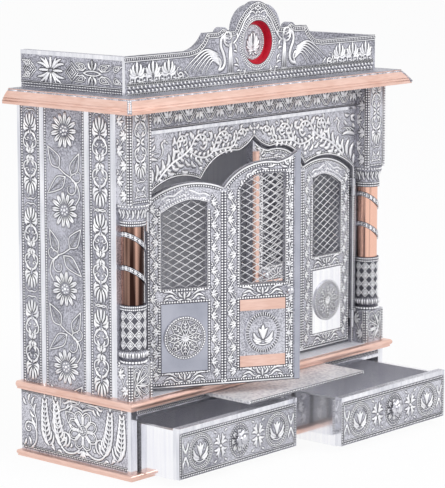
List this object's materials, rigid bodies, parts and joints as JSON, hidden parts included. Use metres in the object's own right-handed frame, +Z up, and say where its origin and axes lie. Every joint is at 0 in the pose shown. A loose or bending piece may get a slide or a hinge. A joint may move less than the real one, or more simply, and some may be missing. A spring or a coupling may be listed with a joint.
{
  "type": "home temple cabinet",
  "caption": "Embossed metal-clad home temple cabinet with arched lattice doors, pillars, a crest, drawers below and a pull-out tray.",
  "frame": {"origin": "middle of the body's width and depth, on the underside of the base", "axes": "+X to the right along the width as seen from the front, +Y to the back, +Z up"},
  "size_m": [0.672, 0.386, 0.695],
  "materials": {
    "embossed_aluminium": "oxidised embossed sheet",
    "polished_aluminium": "polished",
    "plain_sheet": "mill finish sheet over board",
    "copper_sheet": "satin copper sheet",
    "red_backing": "gloss red",
    "plated_steel": "plated"
  },
  "bodies": {
    "cabinet": {"arch_panel": "embossed_aluminium", "back_wall": "plain_sheet", "base_back": "plain_sheet", "base_divider": "embossed_aluminium", "base_floor": "plain_sheet", "base_left_side": "embossed_aluminium", "base_rail": "embossed_aluminium", "base_right_side": "embossed_aluminium", "crest_board": "embossed_aluminium", "crest_medallion": "embossed_aluminium", "crown_front": "copper_sheet", "crown_sides": "copper_sheet", "frieze_moulding": "embossed_aluminium", "front_posts": "embossed_aluminium", "jamb_hinges": "plated_steel", "left_wall": "embossed_aluminium", "niche_backing": "red_backing", "parapet_sides": "embossed_aluminium", "pillar_bands": "polished_aluminium", "pillar_base_blocks": "embossed_aluminium", "pillar_bulbs": "embossed_aluminium", "pillar_capitals": "embossed_aluminium", "pillar_drums": "embossed_aluminium", "pillar_shafts": "copper_sheet", "pillar_top_blocks": "embossed_aluminium", "plinth_moulding_front": "copper_sheet", "plinth_moulding_sides": "copper_sheet", "right_wall": "embossed_aluminium", "roof_board": "plain_sheet", "shelf_board": "embossed_aluminium", "shelf_moulding_front": "copper_sheet", "shelf_moulding_sides": "copper_sheet", "side_mouldings": "embossed_aluminium", "tray_runners": "plain_sheet", "wall_strips": "polished_aluminium"},
    "left_door": {"left_door_copper_plates": "copper_sheet", "left_door_hinges": "plated_steel", "left_door_knob": "polished_aluminium", "left_door_lattices": "embossed_aluminium", "left_door_leaf": "embossed_aluminium", "left_door_medallion": "embossed_aluminium", "left_door_mirror_plate": "polished_aluminium", "left_door_rosette": "embossed_aluminium"},
    "right_door": {"right_door_astragal": "copper_sheet", "right_door_copper_plates": "copper_sheet", "right_door_hinges": "plated_steel", "right_door_knob": "polished_aluminium", "right_door_lattices": "embossed_aluminium", "right_door_leaf": "embossed_aluminium", "right_door_medallion": "embossed_aluminium", "right_door_mirror_plate": "polished_aluminium", "right_door_rosette": "embossed_aluminium"},
    "left_drawer": {"left_drawer_box": "plain_sheet", "left_drawer_front": "embossed_aluminium", "left_drawer_pull": "polished_aluminium"},
    "right_drawer": {"right_drawer_box": "plain_sheet", "right_drawer_front": "embossed_aluminium", "right_drawer_pull": "polished_aluminium"},
    "tray": {"tray": "embossed_aluminium"}
  },
  "joints": [
    {"name": "left_door_hinge", "type": "hinge", "parent": "cabinet", "child": "left_door", "pos_m": [-0.2475, -0.097, 0.3], "axis": [0, 0, -1], "range_deg": [-29.7, 75]},
    {"name": "right_door_hinge", "type": "hinge", "parent": "cabinet", "child": "right_door", "pos_m": [0.2475, -0.097, 0.3], "axis": [0, 0, 1], "range_deg": [0, 105]},
    {"name": "left_drawer_slide", "type": "slide", "parent": "cabinet", "child": "left_drawer", "axis": [0, -1, 0], "range_m": [-0.083, 0.075]},
    {"name": "right_drawer_slide", "type": "slide", "parent": "cabinet", "child": "right_drawer", "axis": [0, -1, 0], "range_m": [-0.138, 0.02]},
    {"name": "tray_slide", "type": "slide", "parent": "cabinet", "child": "tray", "axis": [0, -1, 0], "range_m": [-0.089, 0.03]}
  ]
}
